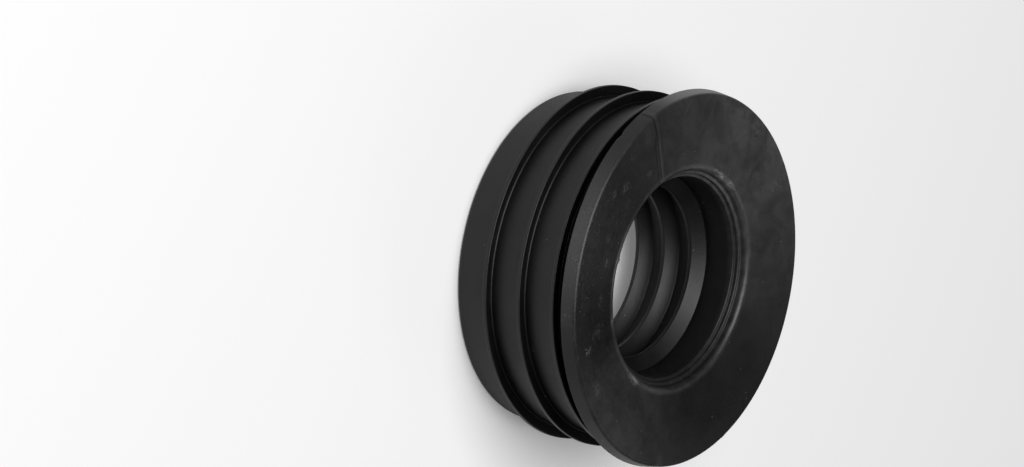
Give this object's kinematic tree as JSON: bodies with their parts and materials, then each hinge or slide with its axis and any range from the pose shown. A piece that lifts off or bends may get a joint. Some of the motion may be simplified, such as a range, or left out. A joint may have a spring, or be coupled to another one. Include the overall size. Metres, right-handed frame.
{
  "type": "rubber reducing sleeve",
  "caption": "Round black rubber sleeve with a flange, outer sealing fins and inner grip lips that seals a small pipe in the open end of a larger one.",
  "frame": {"origin": "centre of the plug's foot, in the plane the sleeve stands on", "axes": "+Z along the sleeve's axis from the foot to the flange, +X in the mould's parting plane"},
  "size_m": [0.0834, 0.083, 0.0353],
  "materials": {
    "rubber": "matt black moulded rubber"
  },
  "bodies": {
    "root": {"reducing_sleeve": "rubber"}
  },
  "joints": []
}
